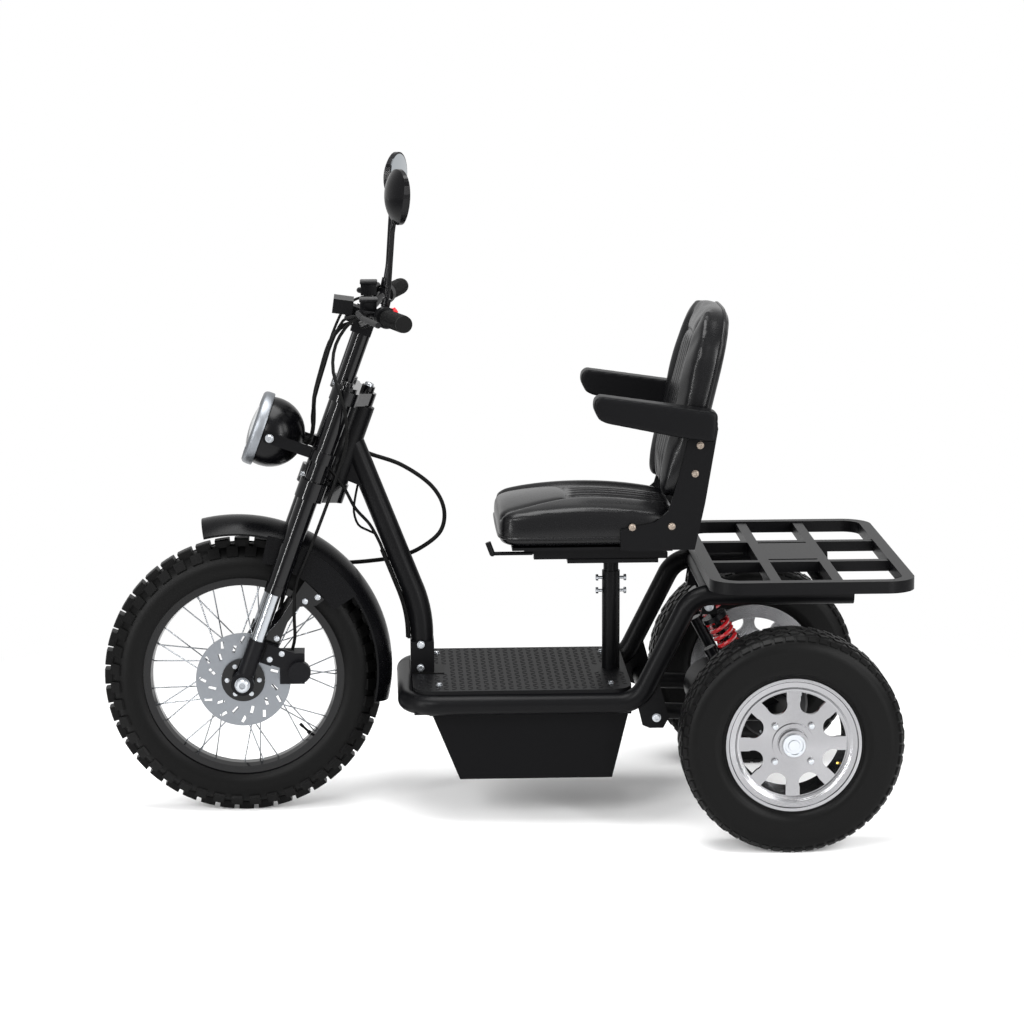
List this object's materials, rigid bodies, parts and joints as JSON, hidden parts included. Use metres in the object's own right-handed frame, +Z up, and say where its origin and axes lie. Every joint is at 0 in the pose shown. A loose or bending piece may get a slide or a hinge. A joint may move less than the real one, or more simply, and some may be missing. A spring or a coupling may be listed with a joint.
{
  "type": "three-wheeled electric scooter",
  "caption": "Step-through electric tricycle scooter with a raked telescopic fork, wire-spoked knobbly front wheel, low deck over a battery box, padded seat with armrests and a rear carrier.",
  "frame": {"origin": "on the ground below the centre of the bounding box", "axes": "+X forward, +Y to the rider's left, +Z up"},
  "size_m": [1.677, 0.841, 1.3821],
  "materials": {
    "frame_black": "satin powder coat",
    "deck_black": "textured powder coat",
    "box_grey": "satin",
    "cells": "matte",
    "vinyl": "soft satin",
    "arm_foam": "matte",
    "chrome": "polished",
    "alloy": "polished",
    "steel": "bright",
    "tyre": "matte",
    "gloss_black": "gloss",
    "black_plastic": "matte",
    "rubber": "matte",
    "spring_red": "gloss",
    "lens": "clear"
  },
  "bodies": {
    "frame": {"main_frame": "frame_black", "deck_plate": "deck_black", "battery_box": "box_grey", "battery_pack": "cells", "seat_post": "frame_black", "seat_rails": "frame_black", "rear_rack": "frame_black", "swing_arm": "frame_black", "transaxle": "box_grey", "shock_left": "box_grey", "shock_right": "box_grey", "springs": "spring_red", "wire_harness": "rubber", "wire_lead": "rubber", "loop_lead": "rubber"},
    "steering": {"fork_tubes": "frame_black", "fork_sliders": "chrome", "axle_lugs": "frame_black", "fork_clamps": "frame_black", "bar_risers": "frame_black", "handlebar": "frame_black", "grips": "rubber", "switch_pods": "black_plastic", "brake_levers": "black_plastic", "dash_unit": "black_plastic", "mirrors": "gloss_black", "headlamp_shell": "gloss_black", "headlamp_ring": "chrome", "headlamp_lens": "lens", "headlamp_bracket": "frame_black", "front_fender": "gloss_black", "fender_stays": "frame_black", "front_axle": "alloy", "brake_caliper": "frame_black", "bar_wires": "rubber", "brake_hose": "rubber"},
    "front_wheel": {"front_tyre": "tyre", "front_rim": "frame_black", "front_spokes": "steel", "front_hub": "frame_black", "brake_disc": "steel"},
    "rear_left": {"rear_tyre_left": "tyre", "rear_wheel_left": "alloy"},
    "rear_right": {"rear_tyre_right": "tyre", "rear_wheel_right": "alloy"},
    "seat": {"seat_frame": "frame_black", "seat_cushion": "vinyl", "back_cushion": "vinyl"},
    "arm_left": {"armrest_left": "arm_foam"},
    "arm_right": {"armrest_right": "arm_foam"}
  },
  "joints": [
    {"name": "steer", "type": "hinge", "parent": "frame", "child": "steering", "pos_m": [0.50121, 0, 0.27961], "axis": [-0.342, 0, 0.9397], "range_deg": [-40, 40], "deforming": ["loop_lead", "wire_lead"]},
    {"name": "front_wheel_spin", "type": "hinge", "parent": "steering", "child": "front_wheel", "pos_m": [0.5435, 0, 0.295], "axis": [0, 1, 0], "continuous": true},
    {"name": "rear_left_spin", "type": "hinge", "parent": "frame", "child": "rear_left", "pos_m": [-0.5805, 0.3565, 0.226], "axis": [0, 1, 0], "continuous": true},
    {"name": "rear_right_spin", "type": "hinge", "parent": "frame", "child": "rear_right", "pos_m": [-0.5805, -0.3565, 0.226], "axis": [0, 1, 0], "continuous": true},
    {"name": "seat_slide", "type": "slide", "parent": "frame", "child": "seat", "axis": [1, 0, 0], "range_m": [0, 0.1]},
    {"name": "arm_left_fold", "type": "hinge", "parent": "seat", "child": "arm_left", "pos_m": [-0.4285, 0.2053, 0.849], "axis": [0, -1, 0], "range_deg": [0, 92]},
    {"name": "arm_right_fold", "type": "hinge", "parent": "seat", "child": "arm_right", "pos_m": [-0.4285, -0.2053, 0.849], "axis": [0, -1, 0], "range_deg": [0, 92]}
  ]
}
